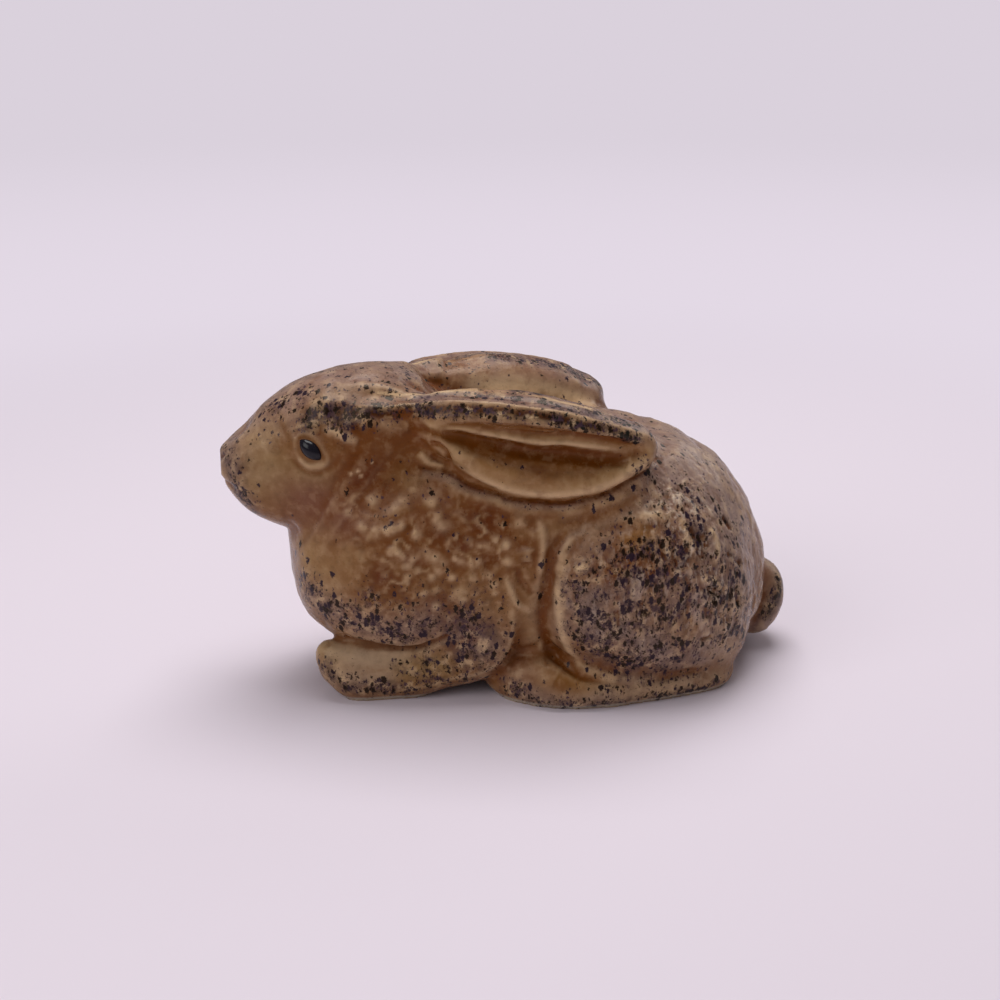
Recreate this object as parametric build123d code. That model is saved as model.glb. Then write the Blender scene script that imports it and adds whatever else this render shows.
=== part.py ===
"""Ceramic rabbit figurine: a crouching rabbit put together from clay members that are luted
with slip before the firing. Millimetres, +Z up, nose towards -X, the rabbit's left side
towards -Y, and the origin on the table under the middle of the figurine."""

import os
from math import copysign, cos, pi, sin

from build123d import *

# Torso: a hollow casting that carries every other member, with a vent in its belly.
TORSO_LENGTH = 80.6
TORSO_WIDTH = 41.6
TORSO_HEIGHT = 42.4
BELLY_CLEARANCE = 1.6
WALL = 3.4
VENT_DIAMETER = 3.8

# Head, luted to the front of the back. It reaches out past the chest and rises above the back.
HEAD_LENGTH = 43.0
HEAD_WIDTH = 24.0
HEAD_HEIGHT = 26.4
HEAD_REACH = 10.3
HEAD_RISE = 9.0

# Eyes: beads of dark glaze that lie in sockets of the head.
EYE_LENGTH = 3.3
EYE_DEPTH = 2.4
EYE_HEIGHT = 5.0
EYE_TILT_DEGREES = 14.0

# Ears, laid back along the shoulders, each with a scooped hollow that faces outwards.
EAR_LENGTH = 39.4
EAR_HEIGHT = 16.7
EAR_SETBACK = 28.2
EAR_DROP = 2.1
EAR_TUCK = 0.6

# Haunches, which bulge out past the torso. They and the feet keep to shares of its length.
HAUNCH_LENGTH_SHARE = 0.4516
HAUNCH_HEIGHT = 33.6
HAUNCH_SETBACK = 5.3
HAUNCH_CLEARANCE = 2.0
HAUNCH_BULGE = 2.6

# Hind feet and forelegs, with soles trimmed flat on the table.
FOOT_LENGTH_SHARE = 0.526
FOOT_HEIGHT = 7.8
FOOT_SETBACK = 8.1
FOOT_SPLAY = 1.6
FORELEG_LENGTH_SHARE = 0.4007
FORELEG_HEIGHT = 20.0
FORELEG_SETBACK = 3.2
FORELEG_TUCK = 3.2

# Tail, pressed on low behind the rump.
TAIL_LENGTH = 12.5
TAIL_WIDTH = 11.6
TAIL_HEIGHT = 13.8
TAIL_REACH = 5.1
TAIL_CLEARANCE = 1.6

CUT_OVERRUN = 5.0

# Facets round and along the members.
TORSO_SIDES = 32
HEAD_SIDES = 24
LIMB_SIDES = 18
HOLLOW_SIDES = 16
BEAD_SIDES = 12
MEMBER_STEPS = 3
HOLLOW_STEPS = 2
BEAD_STEPS = 2

# Places that follow from the sizes above.
OVERALL_LENGTH = HEAD_REACH + TORSO_LENGTH + TAIL_REACH
NOSE_X = -OVERALL_LENGTH / 2
CHEST_X = NOSE_X + HEAD_REACH
RUMP_X = CHEST_X + TORSO_LENGTH
CROWN_Z = BELLY_CLEARANCE + TORSO_HEIGHT + HEAD_RISE
CHIN_Z = CROWN_Z - HEAD_HEIGHT
FLANK_Y = TORSO_WIDTH / 2
HAUNCH_LENGTH = HAUNCH_LENGTH_SHARE * TORSO_LENGTH
FOOT_LENGTH = FOOT_LENGTH_SHARE * TORSO_LENGTH
FORELEG_LENGTH = FORELEG_LENGTH_SHARE * TORSO_LENGTH

# How square the sections are: 1 is a plain oval and less is fuller at the corners.
TORSO_SECTION_SHARE = 0.78
MEMBER_SECTION_SHARE = 0.87

# Each table runs from the front of a member to its back. A station is the place along the
# length, the inner and outer side, and the lowest, widest and highest level. They are shares
# of the member's length, of its width or its outermost standoff, and of its height.
TORSO_SHARES = (
    (0.000, 0.000, 0.000, 0.469, 0.469, 0.469),
    (0.015, -0.180, 0.180, 0.292, 0.469, 0.670),
    (0.065, -0.288, 0.288, 0.189, 0.458, 0.825),
    (0.158, -0.375, 0.375, 0.104, 0.458, 0.943),
    (0.294, -0.416, 0.416, 0.038, 0.458, 1.000),
    (0.468, -0.433, 0.433, 0.000, 0.422, 1.000),
    (0.604, -0.471, 0.471, 0.000, 0.422, 0.991),
    (0.728, -0.500, 0.500, 0.000, 0.399, 0.953),
    (0.834, -0.460, 0.460, 0.010, 0.375, 0.863),
    (0.914, -0.365, 0.365, 0.042, 0.340, 0.712),
    (0.974, -0.221, 0.221, 0.137, 0.316, 0.528),
    (1.000, 0.000, 0.000, 0.316, 0.316, 0.316),
)
HEAD_SHARES = (
    (0.000, 0.000, 0.000, 0.450, 0.450, 0.450),
    (0.018, -0.125, 0.125, 0.310, 0.430, 0.580),
    (0.062, -0.210, 0.210, 0.160, 0.420, 0.655),
    (0.115, -0.260, 0.260, 0.105, 0.425, 0.712),
    (0.190, -0.320, 0.320, 0.055, 0.440, 0.815),
    (0.307, -0.400, 0.400, 0.018, 0.490, 0.928),
    (0.453, -0.475, 0.475, 0.000, 0.530, 0.985),
    (0.616, -0.500, 0.500, 0.000, 0.550, 1.000),
    (0.780, -0.467, 0.467, 0.060, 0.550, 0.875),
    (0.920, -0.330, 0.330, 0.210, 0.530, 0.700),
    (1.000, 0.000, 0.000, 0.530, 0.530, 0.530),
)
EAR_SHARES = (
    (0.000, 0.470, 0.470, 0.778, 0.778, 0.778),
    (0.037, 0.356, 0.574, 0.599, 0.760, 0.910),
    (0.130, 0.290, 0.742, 0.437, 0.707, 0.976),
    (0.270, 0.272, 0.861, 0.204, 0.647, 1.000),
    (0.420, 0.287, 0.940, 0.060, 0.605, 1.000),
    (0.575, 0.327, 0.990, 0.000, 0.563, 0.958),
    (0.725, 0.396, 1.000, 0.024, 0.527, 0.880),
    (0.855, 0.475, 0.970, 0.132, 0.491, 0.760),
    (0.957, 0.594, 0.911, 0.275, 0.467, 0.641),
    (1.000, 0.780, 0.780, 0.467, 0.467, 0.467),
)
EAR_HOLLOW_SHARES = (
    (0.110, 0.730, 0.730, 0.719, 0.719, 0.719),
    (0.170, 0.700, 0.890, 0.575, 0.700, 0.820),
    (0.320, 0.733, 1.090, 0.377, 0.620, 0.832),
    (0.500, 0.782, 1.190, 0.251, 0.555, 0.802),
    (0.675, 0.822, 1.210, 0.240, 0.515, 0.731),
    (0.812, 0.840, 1.163, 0.287, 0.490, 0.647),
    (0.912, 0.861, 1.064, 0.371, 0.470, 0.575),
    (0.955, 0.920, 0.920, 0.473, 0.473, 0.473),
)
HAUNCH_SHARES = (
    (0.000, 0.700, 0.700, 0.491, 0.491, 0.491),
    (0.060, 0.340, 0.863, 0.208, 0.491, 0.744),
    (0.200, 0.250, 0.957, 0.089, 0.491, 0.911),
    (0.393, 0.210, 1.000, 0.018, 0.491, 0.994),
    (0.600, 0.210, 0.991, 0.000, 0.476, 0.988),
    (0.790, 0.235, 0.915, 0.006, 0.432, 0.875),
    (0.930, 0.300, 0.769, 0.060, 0.372, 0.702),
    (1.000, 0.513, 0.513, 0.357, 0.357, 0.357),
)
FOOT_SHARES = (
    (0.000, 0.558, 0.558, 0.436, 0.436, 0.436),
    (0.033, 0.429, 0.688, 0.080, 0.385, 0.795),
    (0.132, 0.424, 0.848, -0.080, 0.385, 0.974),
    (0.274, 0.469, 0.973, -0.100, 0.385, 1.000),
    (0.439, 0.491, 1.000, -0.100, 0.385, 0.897),
    (0.651, 0.473, 0.955, -0.100, 0.360, 0.718),
    (0.840, 0.438, 0.884, -0.100, 0.330, 0.628),
    (0.958, 0.429, 0.768, -0.080, 0.308, 0.564),
    (1.000, 0.580, 0.580, 0.308, 0.308, 0.308),
)
FORELEG_SHARES = (
    (0.000, 0.483, 0.483, 0.210, 0.210, 0.210),
    (0.037, 0.307, 0.648, 0.050, 0.190, 0.390),
    (0.142, 0.227, 0.739, -0.030, 0.180, 0.470),
    (0.313, 0.216, 0.773, -0.040, 0.190, 0.500),
    (0.483, 0.227, 0.807, -0.030, 0.230, 0.570),
    (0.653, 0.284, 0.886, 0.060, 0.370, 0.760),
    (0.839, 0.369, 1.000, 0.160, 0.530, 1.000),
    (0.947, 0.500, 0.943, 0.330, 0.630, 0.970),
    (1.000, 0.716, 0.716, 0.650, 0.650, 0.650),
)
TAIL_SHARES = (
    (0.000, 0.000, 0.000, 0.500, 0.500, 0.500),
    (0.150, -0.340, 0.340, 0.190, 0.500, 0.840),
    (0.460, -0.500, 0.500, 0.000, 0.480, 1.000),
    (0.770, -0.440, 0.440, 0.040, 0.500, 0.950),
    (0.940, -0.260, 0.260, 0.270, 0.570, 0.800),
    (1.000, 0.000, 0.000, 0.620, 0.620, 0.620),
)
BEAD_SHARES = (
    (0.000, 0.000, 0.000, 0.500, 0.500, 0.500),
    (0.146, -0.354, 0.354, 0.146, 0.500, 0.854),
    (0.500, -0.500, 0.500, 0.000, 0.500, 1.000),
    (0.854, -0.354, 0.354, 0.146, 0.500, 0.854),
    (1.000, 0.000, 0.000, 0.500, 0.500, 0.500),
)

# Places on the carrying member: the eye on the head, as shares of the head's length, width
# and height, and the vent along the torso.
EYE_PLACE_SHARES = (0.326, 0.368, 0.591)
VENT_PLACE_SHARE = 0.46


def past_tip(neighbour):
    """The station beyond a rounded tip, where each rail comes back as the opposite one."""
    along, inner, outer, low, widest, high = neighbour
    return (along, outer, inner, high, widest, low)


def blend(before, start, end, after, share):
    """The value a share of the way from start to end, on a smooth rail through all four."""
    slope = end - before
    bend = 2 * before - 5 * start + 4 * end - after
    turn = 3 * start - before - 3 * end + after
    return start + share * (slope + share * (bend + share * turn)) / 2


def smooth_stations(table, steps):
    """The stations between the two tips of a table, with more put in on smooth rails."""
    rows = [past_tip(table[1]), *table, past_tip(table[-2])]
    places = [(first, step) for first in range(len(table) - 1) for step in range(steps)]
    return [
        [blend(*values, step / steps) for values in zip(*rows[first : first + 4])]
        for first, step in places[1:]
    ]


def section(station, size, corner, sides, section_share):
    """Points round one section, from its top down the outer side and up the inner one."""
    along, inner, outer, low, widest, high = station
    points = []
    for count in range(sides):
        angle = 2 * pi * count / sides
        out = copysign(abs(sin(angle)) ** section_share, sin(angle))
        up = copysign(abs(cos(angle)) ** section_share, cos(angle))
        side = (inner + outer + out * (outer - inner)) / 2
        level = widest + up * (high - widest if up > 0 else widest - low)
        points.append(
            Vector(
                corner.X + along * size.X,
                corner.Y - side * size.Y,
                corner.Z + level * size.Z,
            )
        )
    return points


def member(table, size, corner, sides, steps, section_share=MEMBER_SECTION_SHARE):
    """A closed clay member: flat facets skinned over smooth sections between two tips."""
    stations = smooth_stations(table, steps)
    rings = [section(station, size, corner, sides, section_share) for station in stations]
    front = section(table[0], size, corner, 1, section_share)[0]
    rear = section(table[-1], size, corner, 1, section_share)[0]
    facets = []
    for here in range(sides):
        there = (here + 1) % sides
        facets.append((front, rings[0][here], rings[0][there]))
        facets.append((rear, rings[-1][there], rings[-1][here]))
        for ring, following in zip(rings, rings[1:]):
            a, b, c, d = ring[here], ring[there], following[there], following[here]
            facets += [(a, d, b), (b, d, c)] if here < sides / 2 else [(a, d, c), (a, c, b)]
    return Solid(Shell([Face(Wire.make_polygon(corners)) for corners in facets]))


def torso_form(inset, sides, steps):
    """The torso's outer form, or its cavity when it is drawn in by an inset."""
    return member(
        TORSO_SHARES,
        Vector(TORSO_LENGTH - 2 * inset, TORSO_WIDTH - 2 * inset, TORSO_HEIGHT - 2 * inset),
        Vector(CHEST_X + inset, 0, BELLY_CLEARANCE + inset),
        sides,
        steps,
        TORSO_SECTION_SHARE,
    )


def head_form():
    return member(
        HEAD_SHARES,
        Vector(HEAD_LENGTH, HEAD_WIDTH, HEAD_HEIGHT),
        Vector(NOSE_X, 0, CHIN_Z),
        HEAD_SIDES,
        MEMBER_STEPS,
    )


def eye_form():
    """A bead on the left side of the head, tilted with its top towards the nose."""
    bead = member(
        BEAD_SHARES,
        Vector(EYE_LENGTH, EYE_DEPTH, EYE_HEIGHT),
        Vector(-EYE_LENGTH / 2, 0, -EYE_HEIGHT / 2),
        BEAD_SIDES,
        BEAD_STEPS,
    )
    along, out, up = EYE_PLACE_SHARES
    place = Pos(NOSE_X + along * HEAD_LENGTH, -out * HEAD_WIDTH, CHIN_Z + up * HEAD_HEIGHT)
    return place * Rot(0, -EYE_TILT_DEGREES, 0) * bead


def ear_form():
    """A left ear: an outer form with the hollow scooped out of it."""
    size = Vector(EAR_LENGTH, FLANK_Y - EAR_TUCK, EAR_HEIGHT)
    corner = Vector(NOSE_X + EAR_SETBACK, 0, CROWN_Z - EAR_DROP - EAR_HEIGHT)
    outside = member(EAR_SHARES, size, corner, HEAD_SIDES, MEMBER_STEPS)
    hollow = member(EAR_HOLLOW_SHARES, size, corner, HOLLOW_SIDES, HOLLOW_STEPS)
    return outside - hollow


def haunch_form():
    return member(
        HAUNCH_SHARES,
        Vector(HAUNCH_LENGTH, FLANK_Y + HAUNCH_BULGE, HAUNCH_HEIGHT),
        Vector(RUMP_X - HAUNCH_SETBACK - HAUNCH_LENGTH, 0, HAUNCH_CLEARANCE),
        LIMB_SIDES,
        MEMBER_STEPS,
    )


def on_table(form):
    """The form with everything below the table trimmed off, which leaves a flat sole."""
    return split(form, bisect_by=Plane.XY, keep=Keep.TOP)


def hind_foot_form():
    form = member(
        FOOT_SHARES,
        Vector(FOOT_LENGTH, FLANK_Y + FOOT_SPLAY, FOOT_HEIGHT),
        Vector(RUMP_X - FOOT_SETBACK - FOOT_LENGTH, 0, 0),
        LIMB_SIDES,
        MEMBER_STEPS,
    )
    return on_table(form)


def foreleg_form():
    form = member(
        FORELEG_SHARES,
        Vector(FORELEG_LENGTH, FLANK_Y - FORELEG_TUCK, FORELEG_HEIGHT),
        Vector(CHEST_X + FORELEG_SETBACK, 0, 0),
        LIMB_SIDES,
        MEMBER_STEPS,
    )
    return on_table(form)


def tail_form():
    return member(
        TAIL_SHARES,
        Vector(TAIL_LENGTH, TAIL_WIDTH, TAIL_HEIGHT),
        Vector(RUMP_X + TAIL_REACH - TAIL_LENGTH, 0, TAIL_CLEARANCE),
        LIMB_SIDES,
        MEMBER_STEPS,
    )


def vent():
    """A round hole up through the belly wall into the cavity."""
    depth = BELLY_CLEARANCE + WALL + CUT_OVERRUN
    return Pos(CHEST_X + VENT_PLACE_SHARE * TORSO_LENGTH, 0, depth / 2) * Cylinder(
        VENT_DIAMETER / 2, depth
    )


def other_side(piece):
    return mirror(piece, about=Plane.XZ)


# Luting: a member that is pressed on later is cut to the face of those it is pressed against.
torso = torso_form(0, TORSO_SIDES, MEMBER_STEPS)
body_shell = torso - torso_form(WALL, HOLLOW_SIDES, HOLLOW_STEPS) - vent()
whole_head = head_form()
left_eye = eye_form()
right_eye = other_side(left_eye)
head = whole_head - torso - left_eye - right_eye
left_ear = ear_form() - torso - whole_head
left_haunch = haunch_form() - torso
left_foreleg = foreleg_form() - torso
left_hind_foot = hind_foot_form() - torso - left_haunch - left_foreleg
tail = tail_form() - torso

nodes = {
    "body_shell": body_shell,
    "head": head,
    "left_eye": left_eye,
    "right_eye": right_eye,
    "left_ear": left_ear,
    "right_ear": other_side(left_ear),
    "left_haunch": left_haunch,
    "right_haunch": other_side(left_haunch),
    "left_hind_foot": left_hind_foot,
    "right_hind_foot": other_side(left_hind_foot),
    "left_foreleg": left_foreleg,
    "right_foreleg": other_side(left_foreleg),
    "tail": tail,
}

os.makedirs("parts", exist_ok=True)
for name, piece in nodes.items():
    export_step(piece, f"parts/{name}.step")
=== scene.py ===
from math import cos, radians, sin

import bpy
import numpy as np
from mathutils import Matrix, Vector, kdtree, noise
from mathutils.bvhtree import BVHTree


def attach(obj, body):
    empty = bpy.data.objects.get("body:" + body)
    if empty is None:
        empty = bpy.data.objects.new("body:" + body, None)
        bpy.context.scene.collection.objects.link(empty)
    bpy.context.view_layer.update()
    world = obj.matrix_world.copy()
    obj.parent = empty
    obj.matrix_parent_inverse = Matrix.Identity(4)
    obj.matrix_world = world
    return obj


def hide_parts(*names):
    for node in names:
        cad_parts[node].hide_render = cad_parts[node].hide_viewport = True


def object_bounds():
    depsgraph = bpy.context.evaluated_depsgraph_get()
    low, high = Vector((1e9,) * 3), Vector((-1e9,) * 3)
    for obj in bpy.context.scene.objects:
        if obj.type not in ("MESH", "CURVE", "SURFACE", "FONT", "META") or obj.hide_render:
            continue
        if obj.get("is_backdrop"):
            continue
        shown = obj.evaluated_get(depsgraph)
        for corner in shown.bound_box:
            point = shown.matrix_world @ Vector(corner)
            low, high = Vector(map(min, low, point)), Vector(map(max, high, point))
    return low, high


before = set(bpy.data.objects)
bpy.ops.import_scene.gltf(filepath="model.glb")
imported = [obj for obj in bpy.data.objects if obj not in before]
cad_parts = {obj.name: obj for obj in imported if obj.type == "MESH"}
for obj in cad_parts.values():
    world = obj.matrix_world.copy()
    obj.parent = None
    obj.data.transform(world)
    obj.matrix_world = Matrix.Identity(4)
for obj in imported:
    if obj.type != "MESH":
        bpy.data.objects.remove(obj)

MM = 0.001
cad_low, cad_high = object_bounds()
bpy.ops.object.select_all(action="DESELECT")

# Viewpoint. The photograph is taken close up, from in front of the rabbit's left side and a
# little above it. The pixels named below are places in that picture, 1000 by 1000.
AZIMUTH = -10.0
ELEVATION = 20.0
DISTANCE = 240 * MM
AIM = Vector((-2.8, 0, 29)) * MM
PIXELS_PER_MM = 6.0
PICTURE = 1000
SENSOR = 36.0
CLIP_RATIO = 50

back = Vector((
    sin(radians(AZIMUTH)) * cos(radians(ELEVATION)),
    -cos(radians(AZIMUTH)) * cos(radians(ELEVATION)),
    sin(radians(ELEVATION)),
))
across = Vector((cos(radians(AZIMUTH)), sin(radians(AZIMUTH)), 0))
upward = back.cross(across)
eyepoint = AIM + back * DISTANCE
focal = PIXELS_PER_MM * DISTANCE / MM

camera = bpy.data.objects.new("camera", bpy.data.cameras.new("camera"))
bpy.context.collection.objects.link(camera)
camera.location = eyepoint
camera.rotation_mode = "QUATERNION"
camera.rotation_quaternion = (-back).to_track_quat("-Z", "Y")
camera.data.sensor_width = SENSOR
camera.data.lens = SENSOR * focal / PICTURE
camera.data.clip_start = DISTANCE / CLIP_RATIO
camera.data.clip_end = DISTANCE * CLIP_RATIO
bpy.context.scene.camera = camera


# Clay. The figurine is cast and luted as one skin of stoneware, so its members are first
# joined and smoothed into each other, then worked on as one, and parted at the end. A fillet
# of clay fills the corner where each ear grows out of the head.
VOXEL = 0.325 * MM
ROUGH_VOXEL = 0.5 * MM
MERGE_DISTANCE = MM / 1000
SWELL = 0.12 * MM
ROUGH_PASSES = 8
FINE_PASSES = 2
FILLET_RADII = (8.0, 3.8, 3.3)
FILLET_X, FILLET_Y, FILLET_Z = -21.5, 8.3, 46.9


def active(piece):
    bpy.ops.object.select_all(action="DESELECT")
    piece.select_set(True)
    bpy.context.view_layer.objects.active = piece
    return piece


def edit(piece, operator, **settings):
    """Runs an edit-mode operator on the whole of a piece."""
    active(piece)
    bpy.ops.object.mode_set(mode="EDIT")
    bpy.ops.mesh.select_all(action="SELECT")
    operator(**settings)
    bpy.ops.object.mode_set(mode="OBJECT")


def copy_of(name, node):
    """A closed copy of a CAD node's mesh under its own name."""
    piece = bpy.data.objects.new(name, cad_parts[node].data.copy())
    bpy.context.collection.objects.link(piece)
    piece.data.materials.clear()
    edit(piece, bpy.ops.mesh.remove_doubles, threshold=MERGE_DISTANCE)
    return piece


def modify(piece, kind, **settings):
    """Adds a modifier with these settings and applies it."""
    active(piece)
    modifier = piece.modifiers.new(kind.title(), kind)
    for name, value in settings.items():
        setattr(modifier, name, value)
    bpy.ops.object.modifier_apply(modifier=modifier.name)


def points_of(mesh, which="co"):
    """The places of a mesh's points, or their normals, as rows of three."""
    flat = np.empty(len(mesh.vertices) * 3, np.float32)
    mesh.vertices.foreach_get(which, flat)
    return flat.reshape(-1, 3).astype(float)


def put_points(mesh, points):
    mesh.vertices.foreach_set("co", points.astype(np.float32).ravel())
    mesh.update()


def edges_of(mesh):
    flat = np.empty(len(mesh.edges) * 2, np.int32)
    mesh.edges.foreach_get("vertices", flat)
    return flat.reshape(-1, 2)


def relaxed(points, edges, times):
    """Points drawn towards the mean of their neighbours, this many times."""
    ends = np.concatenate([edges[:, 0], edges[:, 1]])
    others = np.concatenate([edges[:, 1], edges[:, 0]])
    count = np.bincount(ends, minlength=len(points))
    for _ in range(times):
        mean = np.stack(
            [np.bincount(ends, points[others, k], len(points)) / count for k in range(points.shape[1])],
            axis=1,
        )
        points = (points + mean) / 2
    return points


members = []
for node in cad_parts:
    member = copy_of("clay_" + node, node)
    if node == "body_shell":
        edit(member, bpy.ops.mesh.convex_hull)
    else:
        edit(member, bpy.ops.transform.shrink_fatten, value=SWELL)
    members.append(member)
for side in (-1, 1):
    bpy.ops.mesh.primitive_uv_sphere_add(segments=32, ring_count=20, radius=MM)
    fillet = bpy.context.object
    fillet.scale = FILLET_RADII
    fillet.location = Vector((FILLET_X, side * FILLET_Y, FILLET_Z)) * MM
    bpy.ops.object.transform_apply(location=True, scale=True)
    members.append(fillet)
bpy.ops.object.select_all(action="DESELECT")
for member in members:
    member.select_set(True)
bpy.context.view_layer.objects.active = members[0]
bpy.ops.object.join()
clay = bpy.context.object
clay.name = "clay"
modify(clay, "REMESH", mode="VOXEL", voxel_size=ROUGH_VOXEL)
put_points(clay.data, relaxed(points_of(clay.data), edges_of(clay.data), ROUGH_PASSES))


# Strokes. The clay is worked with a finger and a wooden tool: pressed in, pushed up or smoothed
# along lines and on spots, which are the same on both sides of the rabbit. Each has a name.
FAR_AWAY = 1.0
TINY = 1e-15
REACH_RADII = 3
MIDPLANE = (0, 3)


def clamp(values):
    return np.clip(values, 0, 1)


def ramp(values, start, width):
    """0 up to a place in mm, rising to 1 over this width."""
    return clamp((values - start * MM) / (width * MM))


def near_side(points):
    """The same points with those of the far side mirrored onto the near side."""
    mirrored = points.copy()
    mirrored[:, 1] = -np.abs(mirrored[:, 1])
    return mirrored


def smooth_path(path, steps=5):
    """More points along a path, on a smooth curve through the given ones."""
    if len(path) < 3:
        return path
    rows = np.vstack([2 * path[0] - path[1], path, 2 * path[-1] - path[-2]])
    found = []
    for k in range(1, len(rows) - 2):
        a, b, c, d = rows[k - 1 : k + 3]
        for s in np.arange(steps) / steps:
            bend = s * ((2 * a - 5 * b + 4 * c - d) + s * (3 * b - a - 3 * c + d))
            found.append(b + s * ((c - a) + bend) / 2)
    return np.array(found + [path[-1]])


def distance_to(points, path, reach):
    """Distance of each point to a path, and how far along it, where it is within reach."""
    found = np.full(len(points), FAR_AWAY)
    along = np.zeros(len(points))
    near = np.nonzero(((points > path.min(0) - reach) & (points < path.max(0) + reach)).all(1))[0]
    best = np.full(len(near), FAR_AWAY)
    place = np.zeros(len(near))
    spans = np.linalg.norm(np.diff(path, axis=0), axis=1)
    starts = np.concatenate([[0], np.cumsum(spans)])
    for k, step in enumerate(np.diff(path, axis=0)):
        share = clamp((points[near] - path[k]) @ step / max(step @ step, TINY))
        gap = np.linalg.norm(points[near] - path[k] - share[:, None] * step, axis=1)
        closer = gap < best
        best[closer] = gap[closer]
        place[closer] = starts[k] + share[closer] * spans[k]
    found[near] = best
    along[near] = place / max(starts[-1], TINY)
    return found, along


class Skin:
    """The clay's surface as it is worked: lines and spots are pixels of the picture or mm."""

    def __init__(self, piece):
        self.piece = piece
        self.refresh()

    def refresh(self):
        self.points = points_of(self.piece.data)
        self.normals = points_of(self.piece.data, "normal")
        self.near = near_side(self.points)
        self.edges = edges_of(self.piece.data)
        self.tree = BVHTree.FromObject(self.piece, bpy.context.evaluated_depsgraph_get())

    def store(self):
        put_points(self.piece.data, self.points)
        self.refresh()

    def cast(self, u, v):
        """Where the view ray through a pixel meets the clay."""
        ray = across * (u - PICTURE / 2) / focal - upward * (v - PICTURE / 2) / focal - back
        return self.tree.ray_cast(eyepoint, ray.normalized())[0]

    def place(self, line):
        """Points on the near side of the clay, on a smooth curve through those of a line."""
        found = [self.tree.find_nearest(Vector(p) * MM)[0] if len(p) == 3 else self.cast(*p) for p in line]
        kept = [tuple(p) for p in found if p is not None and p.y < MM]
        return smooth_path(np.array(kept))

    def mask(self, line, radius, taper=6.0, square=2.0):
        """1 on a line or spot, falling to 0 away from it on both sides, and towards its ends."""
        path = self.place(line)
        if len(path) == 1:
            gap = np.linalg.norm(self.near - path[0], axis=1)
            return np.exp(-((gap / (radius * MM)) ** square))
        gap, along = distance_to(self.near, path, radius * REACH_RADII * MM)
        fall = np.exp(-((gap / (radius * MM)) ** square))
        if taper is None:
            return fall
        return fall * clamp(np.minimum(along, 1 - along) * taper) ** 0.5

    def work(self, *strokes, far_only=False, **named):
        """Raises the clay by a height in mm along each line or spot, or presses it in."""
        shift = np.zeros(len(self.points))
        for line, radius, height, *taper in (*strokes, *named.values()):
            shift += self.mask(line, radius, *taper) * height * MM
        if far_only:
            shift *= ramp(self.points[:, 1], *MIDPLANE)
        self.points += self.normals * shift[:, None]
        self.store()

    def soften(self, times, **strokes):
        """Smooths the clay along each line or spot."""
        melt = np.zeros(len(self.points))
        for line, radius in strokes.values():
            melt = np.maximum(melt, self.mask(line, radius, taper=100, square=4))
        for _ in range(times):
            mean = relaxed(self.points, self.edges, 1)
            self.points += (mean - self.points) * melt[:, None]
        self.store()


skin = Skin(clay)

# Body. The torso is cast hollow in stoneware and is smooth where the neck runs into the
# shoulders and where the haunches run up into the back.
skin.soften(
    times=120,
    neck=([(300, 532), (330, 507), (368, 482), (402, 462)], 5.5),
    ear_root=([(402, 462), (408, 440)], 3.5),
    haunch_top=([(590, 528), (630, 502), (690, 496), (735, 520), (757, 570)], 5.0),
    crown_side=([(-20, -6, 47), (-12, -5, 49)], 3.0),
    flank=([(532, 608), (537, 630), (545, 648)], 3.6),
)
skin.soften(times=50, temple=([(398, 395), (404, 410), (410, 432)], 3.6))

# Head. It is modelled by hand on the casting: a flat brow over almond eyes in soft lids, full
# cheeks, a blunt nose and a short throat. The back and the rump are trimmed in the same pass.
skin.work(
    nape=([(-14, 0, 53), (-9, 0, 52), (-2, 0, 48)], 5.0, -1.6, 2.5),
    jowl=([(330, 500), (350, 515)], 9.0, 0.5),
    muzzle=([(243, 470)], 4.0, 0.35),
    brow=([(306, 418), (330, 415)], 3.0, 0.3),
    brow_ridge=([(298, 410), (318, 404), (345, 405)], 1.3, 0.4, 3),
    brow_crease=([(306, 425), (328, 421), (350, 425)], 1.3, -0.4, 3),
    bridge=([(262, 440), (285, 425)], 4.0, -0.3),
    nose_top=([(-45.4, 0, 43.8)], 3.4, -1.3),
    chin=([(-45.4, 0, 30.3)], 3.2, -0.8),
    throat=([(-38, 0, 27)], 3.0, 0.7),
    back_top=([(20, 0, 43.6)], 6.0, -2.1),
    rump=([(31, 0, 37), (36, 0, 31.6), (40, 0, 26.5)], 6.0, 0.9, 4),
)

# Forelegs. Each is a bent roll of clay with a paw pinched out of its end. The far one is set
# a little further back, behind the chest. Heels and tail are rounded off in the same pass.
FAR_PAW_SETBACK = 3.4
PAW_SIDE = (2, 3)
PAW_REAR = (20, 10)
PAW_TOP = (-15, 5)

x, y, z = skin.points.T
far_paw = ramp(y, *PAW_SIDE) * ramp(-x, *PAW_REAR) * ramp(-z, *PAW_TOP)
skin.points[:, 0] += FAR_PAW_SETBACK * MM * far_paw
skin.store()
skin.work(
    wrist=([(-34.6, -9.5, 9.8)], 2.4, 1.7),
    toes=([(-33.6, -10, 1.2)], 3.2, -1.1),
    heel=([(40.5, -10, 2.2), (38.8, -14.5, 2), (37.5, -17.5, 2)], 2.6, -0.9, 20),
    tail_tip=([(48, 0, 10.2)], 3.0, -0.7),
)

modify(clay, "REMESH", mode="VOXEL", voxel_size=VOXEL)
skin.refresh()
skin.points = relaxed(skin.points, skin.edges, FINE_PASSES)
skin.store()

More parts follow.
